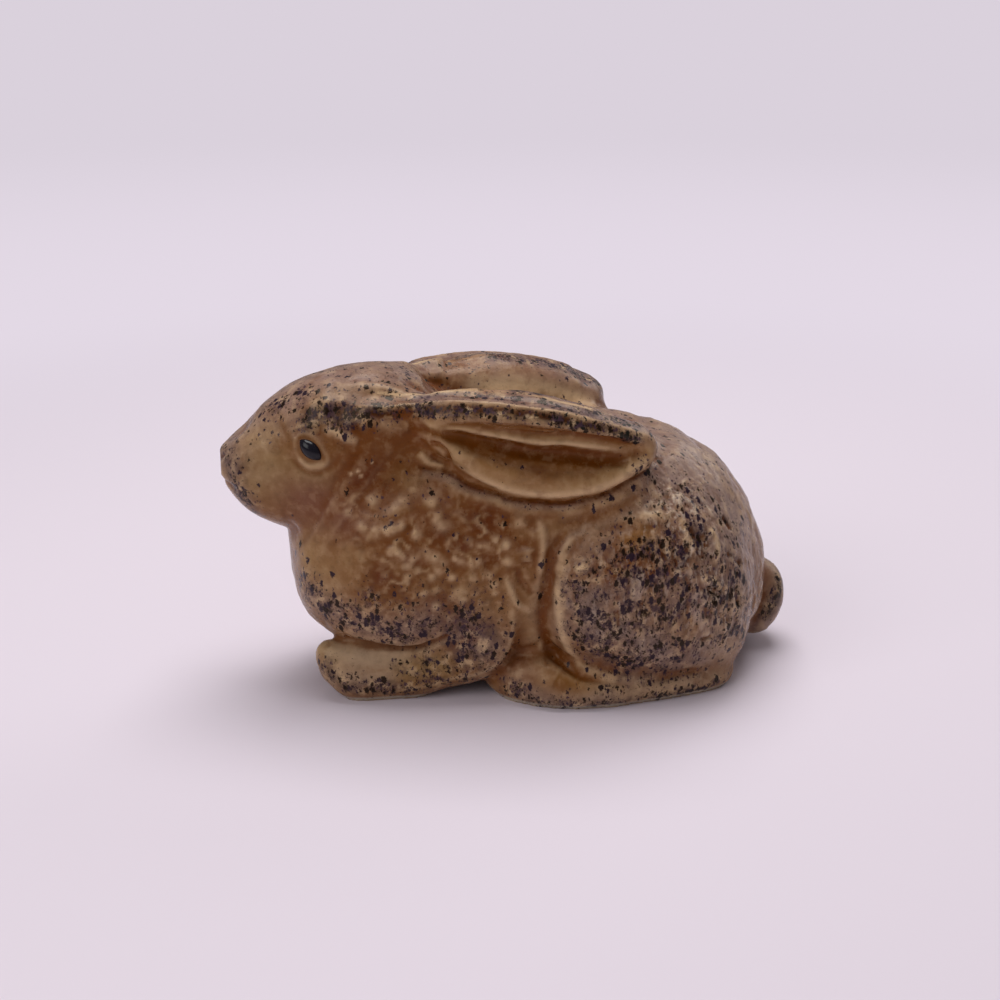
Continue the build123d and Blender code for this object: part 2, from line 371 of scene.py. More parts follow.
# Ears. Each is laid back along the shoulder: a crest that starts at the brow, an outer rim
# below it, a rolled lip over a scooped hollow, and a pale lower rim that ends in a lobe.
skin.soften(
    times=90,
    hollow=([(470, 466), (500, 478), (540, 485), (580, 484), (620, 474)], 1.8),
    under_rim=([
        (425, 471), (460, 493), (495, 506), (525, 512), (552, 513), (585, 510), (615, 503),
        (642, 488), (662, 468),
    ], 2.2),
)
skin.work(
    far_only=True,
    root=([(-17.4, -6, 51.5)], 2.8, 1.3),
    crest=([(-11.5, -9, 51.8), (-5, -10, 52)], 2.6, -0.7),
    tip=([(13.5, -12.5, 47.5), (17, -13.6, 45), (19, -14.5, 42), (19.5, -14.5, 40)], 3.4, -1.1, 20),
)
skin.soften(
    times=60,
    tip=([(10, -12, 49), (15.2, -13, 46.5), (18.2, -14, 43.8), (19.5, -14.5, 41), (19, -14, 39)], 3.0),
    crest=([(-8, -9.5, 51.8), (-5, -10, 51.8), (-2, -10.5, 51.5)], 2.4),
    inner_side=([(9, -8.5, 45.5), (13, -9.5, 43.5), (16, -10.5, 42)], 2.4),
)
skin.work(
    crest=([
        (-30, -5.5, 52), (-23, -7, 51), (-14.7, -9.4, 50.9), (-9.2, -10.2, 51.4), (-3.3, -11.2, 51.4),
        (2.9, -12.2, 50.9),
    ], 1.1, 0.5, 2),
    crest_end=([(4, -11.5, 50), (10, -12.5, 48.5), (16, -14, 45.5)], 2.2, -0.5, 3),
    inner_crease=([(-19.5, -4.2, 52), (-15, -5, 50), (-10, -5.3, 47.5)], 0.9, -0.6, 3),
    outer_rim=([
        (345, 404), (360, 407), (384, 409), (409, 406), (437, 404), (476, 404), (504, 406), (533, 410),
        (571, 416), (600, 424), (625, 430), (648, 438),
    ], 0.6, 0.55, 3),
    below_brow=([(350, 413), (384, 416), (420, 415)], 1.1, -0.45, 3),
    tip=([(640, 415), (652, 422), (662, 432), (666, 444), (662, 459), (653, 473)], 1.4, -0.35, 3),
    top_side=([(360, 396), (418, 398), (476, 396), (533, 401), (590, 413), (630, 425)], 0.9, -0.3, 3),
    rim_groove=([(480, 428), (520, 433), (550, 435), (570, 434), (600, 437), (630, 440)], 0.6, -0.45, 3),
    root_groove=([(408, 426), (425, 430), (440, 434)], 0.7, -0.6, 2),
    lip=([(414, 428), (456, 429), (480, 434), (504, 438), (533, 443), (571, 444), (610, 449)], 0.5, 0.5, 3),
    under_lip=([
        (430, 433), (456, 436), (485, 442), (529, 452), (570, 456), (610, 460), (629, 463),
    ], 1.2, -1.3, 3),
    inner_rim=([
        (451, 453), (466, 466), (487, 480), (514, 490), (543, 495), (571, 493), (600, 487), (619, 480),
        (638, 469), (655, 455),
    ], 1.0, 0.45, 3),
    lower_rim=([
        (421, 476), (446, 481), (463, 493), (488, 501), (512, 508), (537, 511), (560, 512), (585, 509),
        (610, 502), (634, 489), (654, 476),
    ], 1.2, 0.7, 4),
    lower_groove=([
        (419, 466.5), (448, 471.5), (467, 484), (490.5, 492), (513.5, 499.5), (537, 501.5), (560, 503.5),
        (583.5, 499.5), (606.5, 493), (630, 480), (649, 468.5), (657, 456),
    ], 0.4, -0.55, 6),
    lobe=([(419, 452), (430, 462), (445, 467)], 0.7, 0.5),
    lobe_crease=([(430, 443), (440, 447), (447, 455), (449, 465)], 0.6, -0.5),
)

# Face. Thin ridges and creases are drawn round each eye with the tip of a tool. The nose has a
# short cleft between two nostrils, and the mouth is hardly more than a notch.
skin.work(
    eyelids=([
        (297, 436), (304, 434), (313, 437), (321, 446), (327, 457), (325, 465), (316, 467), (307, 465),
        (299, 457), (295, 446), (297, 436),
    ], 0.5, 0.18, 100),
    lid_crease=([(287, 452), (302, 470), (317, 474), (333, 465), (341, 454)], 0.45, -0.2, 3),
    eye_corner=([(326, 430), (337, 434), (349, 440), (359, 441)], 0.8, 0.55, 3),
    eyebrow=([(298, 428), (314, 423), (335, 423), (352, 428)], 1.3, 0.45, 3),
    mouth=([(-47.6, 0, 36.1), (-47, -2.2, 35.8), (-45.4, -4.4, 35.2)], 0.6, -0.45, 3),
    cleft=([(-48, 0, 38.9), (-48, 0, 36.4)], 0.45, -0.35, 20),
    nostril=([(-47.9, -0.5, 39.2), (-47.5, -1.8, 40), (-46.8, -2.8, 41)], 0.5, -0.4, 3),
    whisker_pad=([(-47.4, -1.9, 37.4)], 1.4, 0.3),
    nose_tip=([(-48, 0, 40.6)], 1.8, 0.4),
    lower_lip=([(-47, 0, 34.2)], 1.5, 0.3),
)

# Shoulders and forelegs. The upper arm overhangs the forearm, the elbow has a raised edge,
# and folds of skin hang between the elbow and the haunch. Dabs of slip stand on the shoulder.
ELBOW_FOLD = [(506, 577), (512, 592), (519, 605), (530, 611)]
DAB_HEIGHT = 0.28
DABS = [([(u, v)], radius) for u, v, radius in (
    (407, 566, 0.8), (412, 559, 0.7), (419, 555, 0.9), (427, 554, 0.8), (435, 557, 0.9), (441, 563, 1.0),
    (439, 571, 0.9), (432, 577, 0.7), (418, 570, 0.6), (408, 577, 0.7), (442, 524, 1.3), (436, 520, 0.8),
    (402, 505, 1.1), (396, 510, 0.8), (387, 531, 0.8), (394, 529, 0.9), (401, 526, 0.7), (376, 533, 0.9),
    (361, 527, 0.8), (390, 553, 0.7), (397, 553, 0.8), (403, 558, 0.7), (455, 559, 0.6), (462, 561, 0.8),
    (470, 563, 0.7), (478, 561, 0.6), (460, 592, 1.1), (463, 600, 0.8), (436, 606, 0.8), (471, 544, 0.7),
    (479, 546, 0.6), (487, 546, 0.8), (495, 541, 0.6), (372, 501, 0.9), (431, 503, 0.9), (506, 545, 0.9),
    (490, 577, 0.7), (495, 585, 0.8), (495, 593, 0.6), (474, 579, 0.7), (417, 535, 0.9), (520, 522, 1.0),
    (350, 513, 0.8), (452, 578, 0.7), (425, 593, 0.7), (508, 562, 0.7), (448, 544, 0.6),
)]

skin.work(
    under_arm=([
        (323, 631), (344, 637), (360, 642), (378, 646), (400, 648.5), (420, 648), (436, 642), (450, 635),
    ], 0.6, -1.3, 3),
    upper_arm=([(326, 624), (345, 630), (378, 639), (400, 642), (425, 641)], 1.1, 0.4, 3),
    elbow=([(498, 577), (508, 596), (513, 612), (514, 630), (508, 648), (497, 662)], 0.8, 0.5, 2),
    behind_elbow=([(521, 612), (521, 632), (516, 648), (506, 664)], 0.9, -0.9, 2),
    elbow_fold=(ELBOW_FOLD, 0.55, 0.5, 3),
    elbow_crease=([(516, 566), (522, 582), (532, 595)], 0.6, -0.5, 3),
    front_fold=([(540, 520), (543, 545), (541, 570), (535, 592)], 0.9, 0.5, 2),
    fold_crease=([(566, 532), (556, 548), (549, 563)], 0.7, -0.5, 2),
    rear_fold=([(575, 536), (562, 555), (554, 575)], 0.8, 0.4, 2),
    short_fold=([(529, 548), (526, 562)], 0.9, 0.4),
    shoulder_dent=([(484, 566), (500, 560)], 1.2, -0.4),
)
skin.work(*[(spot, radius, DAB_HEIGHT) for spot, radius in DABS])

# Haunches and hind feet. A deep groove parts the haunch from the belly and the foot, and the
# fur on the haunch is combed into locks with a pointed tool, some cut in and some raised.
LOCKS_CUT = [
    [(690, 526), (697, 544), (703, 560)], [(700, 532), (708, 548)], [(673, 546), (678, 570)],
    [(660, 540), (665, 562)], [(706, 586), (712, 591), (720, 596)], [(727, 552), (742, 564)],
    [(735, 585), (738, 605)], [(715, 610), (728, 622)], [(684, 575), (690, 590)], [(650, 546), (652, 560)],
    [(722, 515), (732, 530)], [(640, 600), (645, 616)], [(700, 640), (712, 636)], [(616, 610), (620, 628)],
]
LOCK_LOW = [(703, 579), (714, 582), (723, 589)]
LOCK_HIGH = [(681, 520), (688, 537), (693, 552)]
LOCK_REAR = [(711, 530), (718, 545), (716, 560)]
CUT_RADIUS = 0.5
CUT_DEPTH = 0.4

skin.work(
    groove=([
        (556, 556), (549, 578), (545, 600), (541, 618), (543, 634), (552, 651), (569, 667),
        (595, 679), (640, 686),
    ], 1.0, -0.9, 3),
    haunch_edge=([
        (564, 566), (558, 590), (559, 618), (567, 646), (583, 667), (608, 678), (636, 681),
    ], 0.9, 0.4, 3),
    haunch_brow=([(557, 582), (559, 559), (570, 541), (589, 530), (611, 522), (640, 516)], 0.9, 0.2, 3),
    above_haunch=([(549, 580), (550, 552), (562, 533), (583, 521), (608, 513), (636, 507)], 1.2, -0.25, 3),
    foot_root=([(512, 654), (527, 648), (540, 646)], 0.8, -0.5),
    instep=([(557, 675), (575, 684), (600, 690)], 2.0, -0.7, 2),
    foot_top=([(513, 683), (525, 668), (545, 662)], 1.6, 0.3),
    foot_groove=([(640, 686), (672, 676), (700, 668)], 0.8, -0.4, 2),
    dent=([(712, 590)], 1.2, -0.6),
    tuft=([(700, 590), (704, 600), (716, 606)], 0.6, 0.4),
)
skin.work(*[(line, CUT_RADIUS, -CUT_DEPTH) for line in LOCKS_CUT])
skin.work(
    lock_low=(LOCK_LOW, 0.6, 0.45),
    lock_high=(LOCK_HIGH, 0.6, 0.35),
    lock_rear=(LOCK_REAR, 0.6, 0.35),
    bare_knee=([(575, 572), (583, 567), (590, 570)], 0.8, 0.5),
    hip_ridge=([(640, 520), (655, 516), (668, 519)], 0.9, 0.3),
)
skin.soften(times=30, flank=([(526, 606), (527, 625), (523, 645)], 1.8))

# Tail. It is a pad of clay pressed on low, with a groove round its root, and its underside is
# smoothed into the rump. The back of the heel is smoothed with it.
skin.work(
    root_groove=([(763, 562), (763, 590), (757, 615), (751, 632)], 0.9, -0.6),
    underside=([(46.6, 0, 2.4)], 3.0, -1.2),
)
skin.soften(
    times=50,
    underside=([(47.5, -2, 7), (46.5, -2.5, 4), (45, -3, 2)], 3.0),
    heel=([(725, 652), (733, 664), (733, 675)], 2.2),
)

# Surface of the clay. Thick slip is dabbed on the shoulders and combed over the haunches, and
# the whole skin keeps the slight unevenness of the hand.
WAVE_SIZE, WAVE_HEIGHT = 5.0, 0.15
GRAIN_SIZE, GRAIN_HEIGHT, SLIP_GRAIN_HEIGHT = 1.3, 0.03, 0.06
CURL_SIZE, CURL_HEIGHT, CURL_MEAN = 3.0, 0.26, 0.25
BUMP_SIZE, BUMP_HEIGHT = 1.7, 0.22
COMB_SIZE, COMB_HEIGHT = (1.3, 1.3, 3.0), 0.24
LOCK_SIZE, LOCK_HEIGHT = (2.3, 2.3, 4.6), 0.5
BOX_MARGIN = 0.02 * MM
SOLE_TRIM = 0.3 * MM


def grain(points, size, octaves=2):
    """Smooth noise from about -1 to 1, for a grain size in mm, or one an axis. Points that are
    shifted first meet another part of the noise."""
    scaled = points / (np.array(size) * MM)
    return np.array([noise.fractal(p, 1.0, 2.0, octaves) for p in scaled.tolist()])


def curls(points, size):
    """Short winding ridges from 0 to 1, like curls of fur, for a size in mm, or one an axis."""
    ridge = clamp(1 - 2.4 * np.abs(grain(points, size, 2)))
    return ridge * clamp(0.45 + 2.4 * grain(points + 0.05, size))


def region(*spots, taper=None, **named):
    """1 on these lines and spots, each with its radius in mm, falling to 0 away from them."""
    found = np.zeros(len(skin.points))
    for line, radius, *strength in (*spots, *named.values()):
        found = np.maximum(found, skin.mask(line, radius, taper) * (strength[0] if strength else 1))
    return found


ears = clamp(1.6 * region(
    near_top=([(400, 402), (480, 395), (560, 405), (640, 430)], 3.6),
    near_hollow=([(440, 450), (500, 465), (570, 470), (640, 452)], 4.2),
    crest=([(-10, -8, 51), (4, -9, 50), (16, -11, 45)], 4.0),
))
slip = region(
    jowl=([(352, 508), (380, 512)], 3.0, 0.7),
    chest=([(400, 545)], 6.5),
    shoulder_top=([(450, 530)], 6.0),
    shoulder=([(435, 570)], 6.5),
    shoulder_rear=([(480, 560)], 6.0),
    chest_low=([(400, 585)], 4.5),
    below_ear=([(490, 520)], 4.0),
    flank_top=([(520, 540)], 3.5),
    above_elbow=([(470, 600)], 4.0, 0.7),
) * (1 - ears)
combed = region(
    haunch=([(640, 590)], 10.0, 0.5),
    haunch_top=([(690, 540)], 8.0, 0.9),
    haunch_rear=([(715, 590)], 7.0, 0.9),
    rump_low=([(725, 625)], 5.0, 0.7),
    hip=([(680, 505)], 6.0, 0.9),
    back=([(700, 470)], 7.0, 0.3),
    rump_top=([(38, -6, 28)], 9.0, 0.25),
    rump_side=([(36, -14, 16)], 8.0, 0.5),
) * (1 - ears)
wave = grain(skin.points, WAVE_SIZE)
fine = grain(skin.points, GRAIN_SIZE)
comb = grain(skin.points, COMB_SIZE, 3)
lump = curls(skin.points, CURL_SIZE)
bump = clamp(1.6 * grain(skin.points + 0.07, BUMP_SIZE, 1) - 0.2)
locks = curls(skin.points + 0.03, LOCK_SIZE)
dabbed = CURL_HEIGHT * (lump - CURL_MEAN) + BUMP_HEIGHT * bump + SLIP_GRAIN_HEIGHT * fine
height = WAVE_HEIGHT * wave + GRAIN_HEIGHT * fine + slip * dabbed
height += combed * (COMB_HEIGHT * comb + LOCK_HEIGHT * (locks - CURL_MEAN))
skin.points += skin.normals * (height * MM)[:, None]
low, high = np.array(cad_low), np.array(cad_high)
skin.points = np.clip(skin.points, low + BOX_MARGIN, high - BOX_MARGIN)
skin.points[skin.points[:, 2] < SOLE_TRIM, 2] = low[2]
skin.store()


# Glaze colours. They are sprayed and brushed over each other before one firing: umber and
# amber run into the hollows, cream breaks on the edges, and a mauve grey, partly a painted
# sheen of the light from above, lies on what faces up.
def linear(red, green, blue):
    """A colour as it looks on a screen, 0 to 255, in the values that shaders use."""
    shares = [value / 255 for value in (red, green, blue)]
    return tuple(v / 12.92 if v < 0.04045 else ((v + 0.055) / 1.055) ** 2.4 for v in shares)


BROWN = linear(122, 79, 41)
MAUVE = linear(138, 110, 101)
CREAM = linear(162, 127, 86)
PALE = linear(214, 180, 140)
AMBER = linear(102, 50, 3)
UMBER = linear(42, 16, 2)
RUST = linear(88, 34, 6)
ROSE = linear(120, 78, 62)
OLIVE = linear(140, 109, 66)
SMOKE = linear(142, 116, 102)
HONEY = linear(134, 88, 34)
SLATE = linear(108, 90, 90)
FROST = linear(150, 126, 117)
STONE = linear(172, 144, 116)
DUSK = linear(72, 50, 58)
ASH = linear(132, 112, 104)
CHALK = linear(204, 186, 168)
SOOT = linear(42, 28, 30)
SOLE = linear(186, 178, 160)
BASE_SPECKS = 0.015
UPWARD_SPECKS = 0.22
HOLLOW_PASSES, HOLLOW_DEPTH = 10, 0.10
DIP_PASSES, DIP_DEPTH = 90, 0.55
UPWARD_LEVELS = (12, 16)
SOLE_LEVELS = (-1.1, 0.5)

relaxed_near = relaxed(skin.points, skin.edges, HOLLOW_PASSES)
relaxed_far = relaxed(relaxed_near, skin.edges, DIP_PASSES)
hollow = ((relaxed_near - skin.points) * skin.normals).sum(1) / (HOLLOW_DEPTH * MM)
dip = ((relaxed_far - skin.points) * skin.normals).sum(1) / (DIP_DEPTH * MM)
pool = clamp(0.6 * hollow + 0.8 * dip)
crest = clamp(-0.9 * hollow - 0.15 * dip)
cloud = 0.5 + 0.5 * grain(skin.points, 4.0, 3)
blot = 0.5 + 0.5 * grain(skin.points + 0.1, 1.8, 3)
up = clamp((skin.normals[:, 2] - 0.15) / 0.6) * ramp(skin.points[:, 2], *UPWARD_LEVELS)

colour = np.tile(np.array(BROWN), (len(skin.points), 1))
specks = np.full(len(skin.points), BASE_SPECKS)


def lay(glaze, amount, *spots, **named):
    """Lays a glaze over what is there, as thick as the amount says, on lines and spots or all over."""
    if spots or named:
        amount = amount * region(*spots, **named)
    colour[:] = colour + (np.array(glaze) - colour) * clamp(amount)[:, None]


def sprinkle(**spots):
    """Adds iron specks on these lines and spots, each with its radius and its density."""
    specks[:] = np.maximum(specks, region(**spots))


def clear(share, **spots):
    """Wipes a share of the specks off these lines and spots."""
    specks[:] *= 1 - share * region(**spots)


# Mauve grey on what faces up: partly a sprayed glaze, partly a painted sheen of the light from above.
lay(MAUVE, up * (0.8 + 0.5 * (cloud - 0.5)))
specks[:] = np.maximum(specks, UPWARD_SPECKS * up)

# Glaze on the head. It is olive on the muzzle, rose on the jowl and amber behind the cheek,
# with dark specks along the brow, round the mouth and on the bridge of the nose.
lay(
    OLIVE, 0.75,
    muzzle=([(250, 480), (268, 468)], 4.0),
    cheek=([(285, 470), (320, 476)], 2.4),
    bridge=([(262, 440)], 4.0, 0.7),
)
lay(ROSE, 0.8, jowl=([(315, 505)], 6.0), throat=([(345, 520)], 4.0))
lay(OLIVE, 0.35, crown=([(320, 396), (350, 391), (400, 395)], 2.0))
lay(
    AMBER, 0.75,
    cheek=([(365, 430), (392, 440), (400, 455)], 4.5),
    behind_eye=([(350, 465), (362, 455)], 2.5),
    under_crest=([(355, 410), (400, 413), (425, 420)], 2.4),
    ear_root=([(395, 425), (425, 440)], 3.0),
)
lay(
    RUST, 0.9 * clamp(0.4 + 1.2 * blot),
    cheek=([(362, 480), (376, 474)], 3.0),
    jaw=([(388, 488)], 2.2),
)
lay(
    UMBER, 0.8,
    brow=([(308, 422), (325, 414), (350, 418)], 2.0),
    under_crest=([(350, 413), (390, 412)], 1.2),
)
# A painted highlight on the lid ridge behind the eye, and a pale line on the lower lid.
lay(
    PALE, 0.4,
    eye_corner=([(326, 430), (338, 434), (352, 440)], 0.6),
    lower_lid=([(300, 460), (309, 466), (322, 464)], 0.4),
)
lay(OLIVE, 0.45, jaw=([(410, 480)], 3.2))
lay(STONE, 0.25, muzzle=([(240, 452), (262, 470)], 4.0))
lay(SLATE, 0.6, nose=([(223, 450), (232, 468)], 2.4), mouth=([(232, 482), (243, 500)], 2.2))
# Painted glints: four pale dots on the rusty cheek.
lay(
    PALE, 0.9,
    fleck_a=([(358, 471)], 0.28),
    fleck_b=([(361, 476)], 0.25),
    fleck_c=([(351, 474)], 0.22),
    fleck_d=([(372, 462)], 0.2),
)
lay(AMBER, 0.85, inner_crease=([(-19, -4, 51), (-13, -4.5, 49.5), (-3, -5, 48.5)], 2.0), taper=4)
clear(0.9, cheek=([(262, 470), (285, 478), (315, 500)], 5.0))
sprinkle(
    brow=([(304, 424), (322, 412), (350, 414), (390, 410)], 2.0),
    eye_corner=([(340, 424)], 2.2, 0.9),
    crown=([(330, 402), (365, 405), (430, 402)], 1.4, 0.8),
    bridge=([(245, 425), (270, 408), (300, 397)], 2.6, 0.6),
    nose=([(224, 452), (236, 465)], 2.2, 0.55),
    mouth=([(236, 478), (242, 498), (250, 508)], 2.0, 0.85),
    forehead=([(380, 398)], 3.0, 0.5),
)
clear(1, eyelids=([(298, 438), (304, 434), (314, 438), (324, 450), (324, 462), (312, 464), (300, 456)], 0.9))

# Glaze on the shoulders, forelegs and belly. Amber and rust pool between the dabs of slip,
# which stay pale. The arm is smoky and specked, and the paw is stone grey with a dark lower edge.
lay(
    AMBER, 0.6 * clamp(0.3 + cloud),
    shoulder=([(440, 540)], 11.0),
    below_ear=([(500, 530)], 6.0),
    above_haunch=([(600, 518)], 5.0),
    upper_arm=([(460, 600)], 5.0),
)
lay(AMBER, 0.45 * slip * clamp((blot - 0.4) * 2.2))
lay(CREAM, 0.4 * clamp(0.3 + cloud), upper_arm=([(440, 590), (480, 600), (500, 610)], 3.5))
lay(
    RUST, 0.85,
    below_ear=([(483, 519)], 2.8),
    shoulder_top=([(441, 530)], 2.0),
    chest=([(382, 576)], 2.2),
    upper_arm=([(432, 606)], 2.6),
    shoulder_rear=([(462, 548)], 1.8),
    shoulder=([(410, 560)], 1.5),
)
lay(CREAM, 0.7, chest=([(310, 560), (325, 585)], 4.5), breast=([(345, 560)], 3.0, 0.6))
lay(CREAM, 0.5 * slip * clamp((lump - 0.3) * 1.8) * clamp((cloud - 0.3) * 3))
lay(CREAM, 0.35 * slip * clamp((bump - 0.3) * 2) * clamp((0.62 - cloud) * 4))
lay(PALE, 0.55 * clamp(1.6 * blot - 0.1), *DABS)
lay(
    SMOKE, 0.75,
    arm=([(312, 600), (345, 616), (385, 630), (425, 626)], 3.4),
    elbow=([(465, 636), (485, 645)], 4.0),
)
lay(
    STONE, 1,
    paw_top=([(332, 652), (370, 658), (400, 656)], 3.2),
    paw_side=([(340, 674), (385, 676)], 3.0, 0.8),
    forearm=([(425, 655)], 2.5, 0.6),
)
lay(OLIVE, 0.5, toes=([(322, 648), (324, 668)], 2.0))
lay(
    DUSK, 0.65 * clamp(1.8 * blot - 0.3),
    elbow=([(462, 622), (478, 640), (465, 656)], 3.6),
    paw_edge=([(325, 670), (345, 684), (390, 686)], 1.4),
)
lay(
    PALE, 0.55,
    sole_edge=([(392, 692), (425, 686), (450, 679), (475, 675), (497, 664), (508, 648)], 0.45),
    taper=6,
)
lay(OLIVE, 0.7, forearm=([(410, 672), (440, 665)], 2.8))
sprinkle(
    arm=([(306, 588), (330, 608), (362, 622), (400, 632), (425, 628)], 3.2),
    breast=([(372, 600)], 3.0, 0.7),
    chest=([(400, 605)], 3.5, 0.45),
    elbow=([(462, 628), (482, 645), (462, 658)], 4.2, 1.2),
    upper_arm=([(450, 605), (490, 600)], 3.5, 0.45),
    paw_edge=([(328, 668), (342, 682), (375, 688), (410, 686), (440, 680)], 1.5, 1.3),
    forearm=([(430, 662), (455, 666)], 2.8, 0.85),
    paw_side=([(400, 670), (415, 675)], 1.8, 0.7),
)
lay(
    CREAM, 0.4 * clamp(0.3 + cloud),
    above_haunch=([(560, 530), (600, 518), (640, 500)], 3.0),
    flank=([(530, 600), (528, 640)], 4.0),
)

# Glaze on the haunches, hind feet, back and tail. The haunch is smoky and thick with specks,
# with honey and amber stains and pale locks, and a frosty bloom lies over the back and rump.
lay(
    SMOKE, clamp(0.55 + 0.8 * cloud),
    haunch_low=([(600, 610), (640, 640), (690, 650)], 6.0),
    haunch=([(650, 600)], 10.0, 0.8),
    haunch_rear=([(720, 600)], 7.0),
    haunch_top=([(700, 540)], 6.0),
    rump=([(720, 500)], 8.0, 0.8),
)
lay(
    ASH, 0.6 * clamp(1.6 * cloud - 0.3),
    haunch_low=([(590, 620), (640, 655), (690, 650)], 7.0),
    haunch_rear=([(715, 590)], 7.0),
    rump=([(725, 540)], 6.0),
)
lay(
    HONEY, 0.75,
    hip=([(630, 540), (645, 532)], 2.2),
    haunch=([(655, 590), (650, 612)], 3.0, 0.6),
    haunch_rear=([(690, 628), (700, 610)], 3.0, 0.7),
)
lay(
    AMBER, 0.9 * clamp(blot * 1.7),
    haunch_front=([(612, 572), (635, 562), (655, 568)], 3.0),
    haunch_top=([(668, 575), (690, 560)], 2.4),
    hip=([(672, 545)], 1.8, 0.8),
    dent=([(700, 585), (705, 600)], 1.4, 0.8),
)
# A pale line runs along the haunch edge; the bright spot on the bare knee is partly a chip where the glaze
# breaks and partly a painted highlight.
lay(
    PALE, 0.65,
    haunch_edge=([(566, 556), (558, 580), (559, 610), (566, 645), (582, 668), (612, 680)], 0.8),
    bare_knee=([(581, 569)], 0.9, 1.4),
)
lay(FROST, combed * clamp((locks - 0.3) * 2.4))
lay(CHALK, 0.55 * combed * clamp((locks - 0.5) * 2.4))
lay(SOOT, 0.65 * combed * clamp((-comb - 0.15) * 3))
lay(
    FROST, 0.8 * clamp(0.4 + cloud),
    back=([(660, 470), (700, 470), (735, 520)], 5.5),
    behind_ear=([(690, 445)], 5.0),
    ridge=([(30, -3, 38)], 7.0),
)
clear(
    0.6,
    back=([(640, 425), (690, 445), (730, 480), (750, 520)], 4.0),
    ridge=([(28, -2, 40), (36, -2, 32)], 6.0),
)
lay(PALE, 0.35 * clamp(2.5 * blot - 0.9), back=([(700, 450), (735, 490), (752, 530)], 3.5))
lay(
    FROST, 0.6 * clamp(2.2 * blot - 0.6),
    rump=([(735, 540), (742, 600), (730, 640)], 4.0),
    haunch_rear=([(700, 600)], 4.0),
)
sprinkle(
    haunch_low=([(585, 595), (605, 640), (650, 660)], 5.0, 1.1),
    haunch=([(650, 600)], 10.0, 1.1),
    haunch_top=([(640, 560), (690, 545)], 4.0, 1.1),
    rump_low=([(720, 590), (735, 620)], 6.0),
    above_foot=([(680, 650)], 5.0, 0.8),
    rump=([(690, 500), (735, 530)], 5.0, 0.5),
    behind_ear=([(640, 470), (655, 500)], 4.0, 0.5),
)
lay(UMBER, 0.85, *[(line, CUT_RADIUS) for line in LOCKS_CUT], taper=8)
lay(
    PALE, 0.7,
    lock_low=(LOCK_LOW, 0.5),
    lock_high=(LOCK_HIGH, 0.5),
    lock_rear=(LOCK_REAR, 0.5),
    hip_ridge=([(640, 518), (655, 514), (668, 517)], 0.9, 0.7),
)
clear(0.8, haunch_edge=([(556, 570), (552, 610), (558, 645), (575, 668)], 1.2))
lay(
    AMBER, 0.75,
    groove=([(551, 575), (546, 600), (543, 620), (550, 648), (568, 666), (592, 678)], 1.0),
    flank_fold=([(540, 560), (535, 590)], 1.6, 0.6),
)
lay(
    PALE, 0.45,
    elbow_fold=(ELBOW_FOLD, 0.5),
    front_fold=([(540, 520), (543, 545), (541, 570)], 0.6, 0.7),
)
lay(HONEY, 0.85, instep=([(566, 683), (590, 690)], 2.6))
lay(
    STONE, 0.6,
    foot_side=([(600, 700), (700, 684)], 2.6),
    rump_low=([(735, 600), (728, 650)], 3.6),
    heel=([(715, 668)], 3.0),
)
lay(ASH, 0.6, toes=([(520, 690), (560, 704), (600, 704)], 2.4))
lay(ROSE, 0.6, foot_top=([(520, 665)], 3.5))
sprinkle(
    toes=([(512, 686), (532, 700), (560, 706)], 1.9, 1.2),
    sole_edge=([(560, 704), (600, 704), (640, 697), (700, 688), (716, 682)], 1.0, 1.3),
    foot_side=([(606, 692)], 1.2),
    heel=([(660, 680), (705, 672)], 1.0, 0.6),
)
lay(ASH, 0.8, tail=([(775, 570), (778, 600), (765, 625)], 5.0))
lay(AMBER, 0.55, tail_root=([(765, 565), (768, 590), (762, 608)], 1.6))
lay(UMBER, 0.85, tail_edge=([(773, 557), (779, 568), (781, 580), (777, 597), (767, 613)], 1.5))
sprinkle(tail_edge=([(773, 557), (779, 568), (780, 582), (775, 600), (766, 612)], 1.6, 0.9))
sole = ramp(-skin.points[:, 2], *SOLE_LEVELS) * (skin.normals[:, 2] > -0.8)
lay(SOLE, 0.85 * sole)
specks[:] *= 1 - 0.7 * sole

# Glaze on the ears. The hollow is clean honey brown with a painted shadow line under the lip, the crest
# and the outer rim are dark and specked, and cream breaks on the lip and on the lower rim. A painted
# shadow also runs in the groove under the lower rim, and a painted highlight lies along the top edge
# of the near ear.
EAR_LIP = [(430, 425), (470, 429), (500, 432), (537, 436), (580, 442), (620, 447), (650, 450)]

inside = region(
    under_lip=([(440, 438), (500, 452), (560, 462), (620, 463)], 2.6),
    hollow=([(480, 465), (520, 478), (580, 482), (620, 474)], 2.4),
)
specks[:] *= 1 - 0.97 * inside
lay(BROWN, inside)
lay(HONEY, 0.5 * inside)
lay(
    AMBER, 0.8,
    under_lip=([(410, 430), (435, 440), (480, 448), (530, 456), (620, 463)], 1.8),
    hollow=([(523, 474), (555, 480), (587, 480)], 1.1, 0.9),
)
# Painted shadow: a dark line where the lip overhangs the hollow.
lay(UMBER, 0.8, under_lip=([(500, 448), (529, 454), (580, 459), (622, 463)], 0.9))
lay(ROSE, 0.6, lip_edge=([(500, 446), (540, 449), (600, 452)], 0.7))
lay(CREAM, 0.8, inner_rim=([
    (455, 455), (475, 473), (505, 486), (545, 492), (585, 488), (615, 478), (645, 462),
], 1.7))
lay(PALE, 0.7, inner_rim=([
    (462, 468), (490, 484), (525, 494), (560, 496), (590, 492), (615, 483), (645, 465),
], 0.8))
lay(CREAM, 0.7, lobe=([(421, 456), (432, 465), (447, 468)], 0.9))
